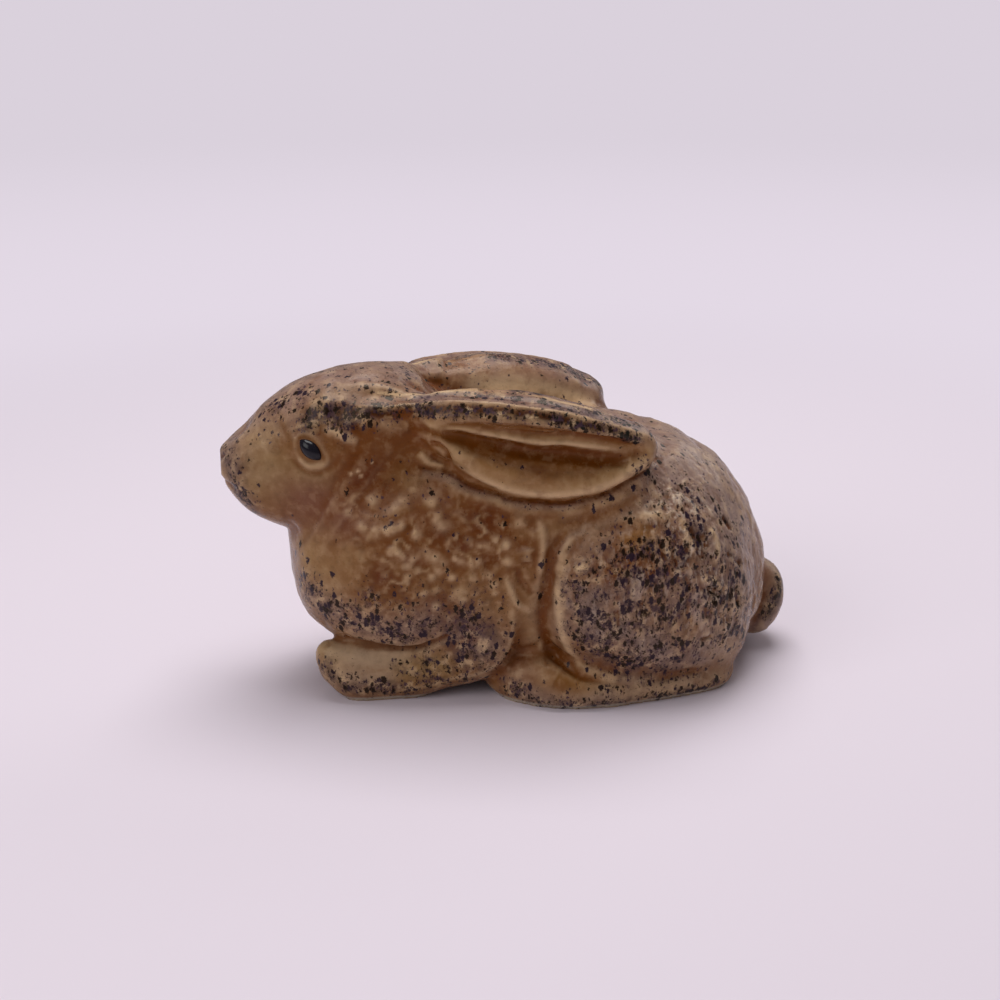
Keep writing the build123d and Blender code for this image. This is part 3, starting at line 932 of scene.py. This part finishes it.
# Painted shadow: a thin dark line in the groove under the lower rim.
lay(UMBER, 0.8, lower_groove=([
    (419, 467), (448, 472), (467, 484.5), (490, 492.5), (513, 500), (537, 502), (560, 504), (583, 500),
    (606, 493.5), (630, 481), (649, 469), (657, 457),
], 0.24))
lay(AMBER, 0.9, outer_rim=([(395, 411), (470, 411), (530, 417), (590, 427), (625, 434)], 1.0))
lay(UMBER, 0.85, outer_rim=([(420, 411), (470, 412), (530, 417), (590, 426), (636, 438)], 0.9))
lay(SLATE, 0.8, top_side=([(420, 397), (500, 397), (545, 402), (590, 414), (636, 426)], 1.3))
lay(AMBER, 0.7, rim_groove=([(470, 419), (500, 423), (537, 427), (580, 434), (625, 442)], 0.7))
lay(CREAM, 0.85, lip=(EAR_LIP, 0.7))
lay(
    PALE, 0.65,
    lip_edge=([(440, 430), (480, 434), (504, 438), (543, 443), (571, 444), (610, 449), (630, 451)], 0.4),
    taper=5,
)
clear(0.9, lip=(EAR_LIP, 0.8))
sprinkle(
    outer_rim=([(400, 409), (470, 412), (530, 417), (590, 426), (636, 438)], 1.1, 1.4),
    top_side=([(380, 396), (418, 397), (476, 395), (533, 401), (590, 413), (635, 424)], 1.4, 0.85),
)
green = region(outer_rim=([(500, 410), (560, 420), (640, 437)], 2.5))
# Painted highlight: a thin pale line along the top edge of the near ear, with its specks wiped off.
top_edge = region(near_ear=([
    (378, 393), (400, 395), (418, 394), (445, 391.5), (476, 390), (514, 392), (552, 399.5), (590, 408.5),
    (613, 412), (636, 419), (650, 427),
], 0.34))
lay(PALE, 0.85 * top_edge)
specks[:] *= 1 - 0.9 * top_edge
lay(CREAM, 0.5, outer_rim=([
    (360, 407), (409, 406), (476, 404), (533, 408), (571, 414), (600, 421), (648, 436),
], 0.25))
lay(BROWN, 0.8, crest=([(-9, -9, 51.5), (-4, -9.5, 51.5), (4, -10, 50.5)], 2.8))
lay(
    ROSE, 0.85,
    crest=([(-9, -10, 51), (-2, -10, 51), (6, -11, 50), (14, -12.5, 46.8), (18, -13.5, 43.5)], 2.6),
    taper=5,
)
lay(SLATE, 0.7, crest=([(-2, -10, 51.5), (6, -11.5, 50), (14, -13, 46.8), (18, -14, 43.5)], 1.8))
# A stone and pale band on the inner side of the far ear: partly its glaze, partly painted light that lifts
# the shade in the trough between the ears.
lay(STONE, 0.9, inner_side=([(-6, -7.5, 47), (0, -7.5, 46.5), (7, -8, 45), (14, -9, 42.5)], 1.8))
lay(PALE, 0.8, inner_side=([(-4, -7.4, 46), (2, -7.6, 45.6), (8, -8, 44.2), (14, -9, 42)], 1.3))
clear(0.9, inner_side=([(-2, -8, 48), (7, -8.5, 46.5), (15, -10, 43.5), (17.5, -11, 42)], 2.2))
sprinkle(crest=([(-2, -11, 51.5), (6, -12, 50), (14, -14, 46.5), (18, -15, 43.5)], 1.8, 0.9))

lay(AMBER, 0.7 * pool)
lay(PALE, 0.45 * crest * (0.4 + 0.6 * cloud))
specks[:] *= 1 - 0.4 * pool

# Eyes. Each is an almond bead of dark glaze with its point towards the nose, dabbed on with a
# brush and set in its lids.
EYE_FRONT = (299.5, 439.5)
EYE_REAR = (321.5, 460.5)
EYE_MIDDLE = (310, 450)
BEAD_LENGTH_SHARE = 0.47
BEAD_WIDTH = 1.3
BEAD_DEPTH = 1.15
BEAD_SINK = 0.35


def eye_bead(name, side):
    """A lens of glaze, pointed at both ends, between the corners of the eye."""
    front, rear, middle = (skin.cast(*pixel) for pixel in (EYE_FRONT, EYE_REAR, EYE_MIDDLE))
    long_way = (rear - front).normalized()
    out = skin.tree.find_nearest(middle)[1]
    out = (out - long_way * out.dot(long_way)).normalized()
    wide_way = out.cross(long_way)
    bpy.ops.mesh.primitive_uv_sphere_add(segments=48, ring_count=32, radius=1.0)
    bead = bpy.context.object
    bead.name = name
    points = points_of(bead.data)
    pinch = clamp(1 - points[:, 2] ** 2) ** 0.25
    points = (
        points[:, 2:3] * np.array(long_way) * (rear - front).length * BEAD_LENGTH_SHARE
        + (points[:, 0] * pinch)[:, None] * np.array(wide_way) * BEAD_WIDTH * MM
        + (points[:, 1] * pinch)[:, None] * np.array(out) * BEAD_DEPTH * MM
        + np.array(middle - out * BEAD_SINK * MM)
    )
    points[:, 1] *= -side
    put_points(bead.data, points)
    edit(bead, bpy.ops.mesh.normals_make_consistent, inside=False)
    bpy.ops.object.shade_smooth()
    modify(clay, "BOOLEAN", operation="DIFFERENCE", object=bead, solver="MANIFOLD")
    return bead


eyes = {"left_eye": eye_bead("eye_left", -1), "right_eye": eye_bead("eye_right", 1)}

# Parting. The clay is cut up along the joins where the members were pressed together, so that
# every member is a closed piece of its own. What is left is the torso, with the vent in its belly.
CELL_VOXEL = 0.6 * MM
CELL_SWELL = 1.0 * MM
VENT_RADIUS = 1.9 * MM
VENT_DEPTH = 6 * MM
VENT_X = -0.6 * MM
PARTED = (
    "left_ear", "right_ear", "head", "left_haunch", "right_haunch", "left_foreleg", "right_foreleg",
    "left_hind_foot", "right_hind_foot", "tail",
)


def part(name, node):
    """Cuts the piece of a CAD node off the clay."""
    cell = copy_of("cell", node)
    modify(cell, "REMESH", mode="VOXEL", voxel_size=CELL_VOXEL)
    modify(cell, "DISPLACE", strength=CELL_SWELL, mid_level=0.0)
    modify(cell, "REMESH", mode="VOXEL", voxel_size=CELL_VOXEL)
    piece = bpy.data.objects.new(name, clay.data.copy())
    bpy.context.collection.objects.link(piece)
    modify(piece, "BOOLEAN", operation="INTERSECT", object=cell, solver="MANIFOLD")
    modify(clay, "BOOLEAN", operation="DIFFERENCE", object=cell, solver="MANIFOLD")
    bpy.data.objects.remove(cell)
    return piece


pieces = {node: part("glazed_" + node, node) for node in PARTED}
bpy.ops.mesh.primitive_cylinder_add(
    vertices=48, radius=VENT_RADIUS, depth=2 * VENT_DEPTH, location=(VENT_X, 0, low[2])
)
vent = bpy.context.object
modify(clay, "BOOLEAN", operation="DIFFERENCE", object=vent, solver="MANIFOLD")
bpy.data.objects.remove(vent)
pieces["body_shell"] = clay
clay.name = "glazed_body"


# Glaze. The colours laid above run into each other in the kiln, and iron in them gathers into
# dark specks of three sizes, blotches where these crowd, and streaks in the combed fur. The
# surface is a soft gloss with fine pits. Every member carries the same glaze.
class Wire:
    """A shader socket on which sums are written as Python expressions."""

    def __init__(self, tree, socket):
        self.tree = tree
        self.socket = socket

    def math(self, operation, other):
        return self.tree.node("Math", dict(operation=operation), self, other).out(0)

    def __add__(self, other):
        return self.math("ADD", other)

    __radd__ = __add__

    def __sub__(self, other):
        return self.math("SUBTRACT", other)

    def __mul__(self, other):
        return self.math("MULTIPLY", other)

    def __lt__(self, other):
        return self.math("LESS_THAN", other)


class Node:
    def __init__(self, tree, made):
        self.tree = tree
        self.made = made

    def out(self, which):
        return Wire(self.tree, self.made.outputs[which])


class Tree:
    """The nodes of a material or of the world, each added by one method."""

    def __init__(self, owner):
        owner.use_nodes = True
        self.nodes = owner.node_tree.nodes
        self.links = owner.node_tree.links

    def put(self, socket, value):
        if isinstance(value, Wire):
            self.links.new(value.socket, socket)
        else:
            socket.default_value = value

    def shader(self, **values):
        """Sets sockets of the material's own shader, whose names are written with _ for a space."""
        for name, value in values.items():
            self.put(self.nodes["Principled BSDF"].inputs[name.replace("_", " ")], value)

    def node(self, kind, settings=None, *values, **named):
        """A node of this type, with its settings, and the values or links of its sockets."""
        made = self.nodes.new("ShaderNode" + kind)
        for name, value in (settings or {}).items():
            setattr(made, name, value)
        for place, value in enumerate(values):
            if value is not None:
                self.put(made.inputs[place], value)
        for name, value in named.items():
            self.put(made.inputs[name.replace("_", " ")], value)
        return Node(self, made)

    def noise(self, vector, scale, detail, roughness=0.5, which="Fac"):
        values = dict(Scale=scale, Detail=detail, Roughness=roughness)
        return self.node("TexNoise", None, vector, **values).out(which)

    def step(self, value, low, high):
        return self.node("MapRange", dict(interpolation_type="SMOOTHSTEP"), value, low, high).out(0)

    def mix(self, share, first, second):
        """Two colours mixed, in the colour sockets that follow the number and vector ones."""
        made = self.node("Mix", dict(data_type="RGBA"), share)
        self.put(made.made.inputs[6], first)
        self.put(made.made.inputs[7], second)
        return made.out(2)

    def move(self, vector, shift, amount):
        scaled = self.node("VectorMath", dict(operation="SCALE"), shift, Scale=amount).out(0)
        return self.node("VectorMath", dict(operation="ADD"), vector, scaled).out(0)


def rgba(colour):
    return (*colour, 1.0)


PURPLE_INK = linear(34, 20, 36)
GREEN_INK = linear(12, 22, 10)
BROWN_INK = linear(24, 9, 3)
FAINT_INK = linear(64, 44, 56)
SMOKY_WASH = linear(62, 44, 54)
PIT_DEPTH = 0.12 * MM
SHARP_EDGE = radians(50)

speckled = bpy.data.materials.new("speckled_glaze")
glaze = Tree(speckled)
place = glaze.node("TexCoord").out("Object")
grown = glaze.node("Mapping", None, place, Scale=(1 / MM, 1 / MM, 1 / MM)).out(0)
painted = glaze.node("Attribute", dict(attribute_name="glaze")).out("Color")
density = glaze.node("Attribute", dict(attribute_name="specks")).out("Fac")
greenish = glaze.node("Attribute", dict(attribute_name="green")).out("Fac")
furred = glaze.node("Attribute", dict(attribute_name="combed")).out("Fac")

stir = glaze.noise(grown, 2.2, 3.0, 0.7, which="Color")
stirred = glaze.move(grown, stir, 1.0)
drawn = glaze.node("Mapping", None, stirred, Scale=(1.15, 1.15, 0.62)).out(0)
clustered = glaze.noise(grown, 0.42, 2.0)
crowding = density * (glaze.step(clustered, 0.4, 0.6) + 0.4)


def speckle(vector, scale, least, spread, share):
    """Spots of glaze of mixed sizes, and the chance that tints each."""
    cells = glaze.node("TexVoronoi", None, vector, Scale=scale)
    chance = glaze.node("SeparateColor", None, cells.out("Color"))
    edge = chance.out(2) * spread + least
    spot = glaze.step(cells.out("Distance") - edge, 0.08, -0.08)
    return spot * (chance.out(0) < crowding * share), chance.out(1)


large, shade = speckle(drawn, 0.95, 0.24, 0.28, 0.9)
small, tint = speckle(drawn, 2.0, 0.28, 0.24, 0.85)
dust, _ = speckle(stirred, 4.2, 0.3, 0.15, 0.6)

cloudy = glaze.noise(grown, 0.32, 4.0, 0.6)
mottled = glaze.noise(grown, 0.6, 3.0)
fibre = glaze.node("Mapping", None, grown, Scale=(1.6, 1.6, 0.45)).out(0)
streaky = glaze.noise(fibre, 1.0, 4.0, 0.65)
wash = glaze.noise(grown, 0.8, 3.0)
merging = glaze.noise(stirred, 0.7, 4.0, 0.6)
blotch = glaze.step(merging, 0.57, 0.63) * glaze.step(crowding, 0.5, 0.95)
purple = glaze.mix(greenish * 0.8, rgba(PURPLE_INK), rgba(GREEN_INK))
ink = glaze.mix(glaze.step(shade, 0.4, 0.5), purple, rgba(BROWN_INK))
faint = glaze.mix(glaze.step(tint, 0.6, 0.75), ink, rgba(FAINT_INK))
surface = painted
for amount, layer in (
    (glaze.step(cloudy, 0.52, 0.75) * 0.22, rgba(CREAM)),
    (glaze.step(cloudy, 0.48, 0.28) * 0.4, rgba(AMBER)),
    # Pale flecks: the glaze's own mottling, with painted glints that grow where specks crowd.
    (glaze.step(mottled, 0.5, 0.7) * (0.11 + density * 0.42), rgba(PALE)),
    (glaze.step(mottled, 0.48, 0.3) * (0.16 + density * 0.2), rgba(UMBER)),
    (glaze.step(streaky, 0.51, 0.68) * furred * 0.7, rgba(CHALK)),
    (glaze.step(streaky, 0.47, 0.3) * furred * 0.7, rgba(SOOT)),
    (glaze.step(wash, 0.46, 0.6) * crowding * 0.55, rgba(SMOKY_WASH)),
    (dust * 0.6, faint),
    (small * 0.9, faint),
    (blotch * 0.85, ink),
    (large * 0.97, ink),
):
    surface = glaze.mix(amount, surface, layer)
pitted = glaze.noise(grown, 2.2, 3.0)
relief = pitted * 0.6 + streaky * (0.3 + furred) + large * 0.15
glaze.shader(
    Base_Color=surface,
    Roughness=0.18 + cloudy * 0.16,
    Specular_IOR_Level=0.22,
    Specular_Tint=(1.0, 0.8, 0.6, 1.0),
    Normal=glaze.node("Bump", None, Strength=0.6, Distance=PIT_DEPTH, Height=relief).out(0),
)

finder = kdtree.KDTree(len(skin.points))
for index, point in enumerate(skin.points):
    finder.insert(point, index)
finder.balance()

masks = {"specks": specks, "green": green, "combed": combed}
for node, piece in pieces.items():
    mesh = piece.data
    nearest = np.array([finder.find(p)[1] for p in points_of(mesh)])
    for name in list(mesh.attributes.keys()):
        if name in masks or name == "glaze":
            mesh.attributes.remove(mesh.attributes[name])
    coat = np.hstack([colour[nearest], np.ones((len(nearest), 1))]).astype(np.float32)
    mesh.attributes.new("glaze", "FLOAT_COLOR", "POINT").data.foreach_set("color", coat.ravel())
    for name, mask in masks.items():
        amount = mask[nearest].astype(np.float32)
        mesh.attributes.new(name, "FLOAT", "POINT").data.foreach_set("value", amount)
    mesh.materials.clear()
    mesh.materials.append(speckled)
    active(piece)
    bpy.ops.object.shade_smooth_by_angle(angle=SHARP_EDGE)
    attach(piece, "root")
    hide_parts(node)

# Eye glaze. The beads are of a glaze of their own, a near black with a touch of violet, brushed
# on last and glossy from the same firing.
dark = bpy.data.materials.new("eye_glaze")
Tree(dark).shader(Base_Color=rgba(linear(16, 12, 22)), Roughness=0.2, Specular_IOR_Level=0.3)
for node, bead in eyes.items():
    bead.data.materials.append(dark)
    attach(bead, "root")
    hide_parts(node)

# Floor and light. The figurine stands on matt paper that fades into an even pale backdrop,
# under a large soft lamp above, a weaker one at the left and a faint one behind.
FLOOR_SIZE = 6
PAPER = linear(222, 211, 221)
PAPER_NEAR = linear(227, 217, 229)
BACKDROP = linear(218, 209, 220)
TENT_LIGHT = (1.0, 0.98, 1.0, 1)
TENT_STRENGTH = 0.215
# Each lamp's name, place and size in metres, and power.
LAMPS = (
    ("lamp above", (0.02, 0.09, 0.5), 0.35, 2.08),
    ("lamp behind", (0.4, 0.3, 0.3), 0.3, 0.38),
    ("lamp left", (-0.38, -0.26, 0.34), 0.35, 0.88),
)

bpy.ops.mesh.primitive_plane_add(size=FLOOR_SIZE)
floor = bpy.context.object
floor.name = "floor"
paper = bpy.data.materials.new("paper")
ground = Tree(paper)
ground.shader(Base_Color=rgba(PAPER), Roughness=0.9, Specular_IOR_Level=0.1)
centred = ground.node("TexCoord").out("Object")
spread = ground.node("VectorMath", dict(operation="LENGTH"), centred).out("Value")
seen = ground.node("LightPath").out("Is Camera Ray")
pale = ground.mix(ground.step(spread, 0.3, 0.9), rgba(PAPER_NEAR), rgba(BACKDROP))
lit = Node(ground, ground.nodes["Principled BSDF"]).out(0)
glow = ground.node("Emission", None, pale).out(0)
faded = ground.node("MixShader", None, ground.step(spread, 0.09, 0.3) * seen, lit, glow).out(0)
ground.put(ground.nodes["Material Output"].inputs["Surface"], faded)
floor.data.materials.append(paper)
floor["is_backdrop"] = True

world = bpy.data.worlds.new("tent")
bpy.context.scene.world = world
sky = Tree(world)
tent = Node(sky, sky.nodes["Background"])
sky.put(tent.made.inputs["Color"], TENT_LIGHT)
sky.put(tent.made.inputs["Strength"], TENT_STRENGTH)
backdrop = sky.node("Background", None, rgba(BACKDROP))
choice = sky.node(
    "MixShader", None, sky.node("LightPath").out("Is Camera Ray"), tent.out(0), backdrop.out(0)
)
sky.put(sky.nodes["World Output"].inputs["Surface"], choice.out(0))
for name, spot, size, energy in LAMPS:
    bpy.ops.object.light_add(type="AREA", location=spot)
    lamp = bpy.context.object
    lamp.name = name
    lamp.rotation_euler = (AIM - Vector(spot)).to_track_quat("-Z", "Y").to_euler()
    lamp.data.size = size
    lamp.data.energy = energy
bpy.context.scene.view_settings.view_transform = "Standard"

low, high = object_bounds()
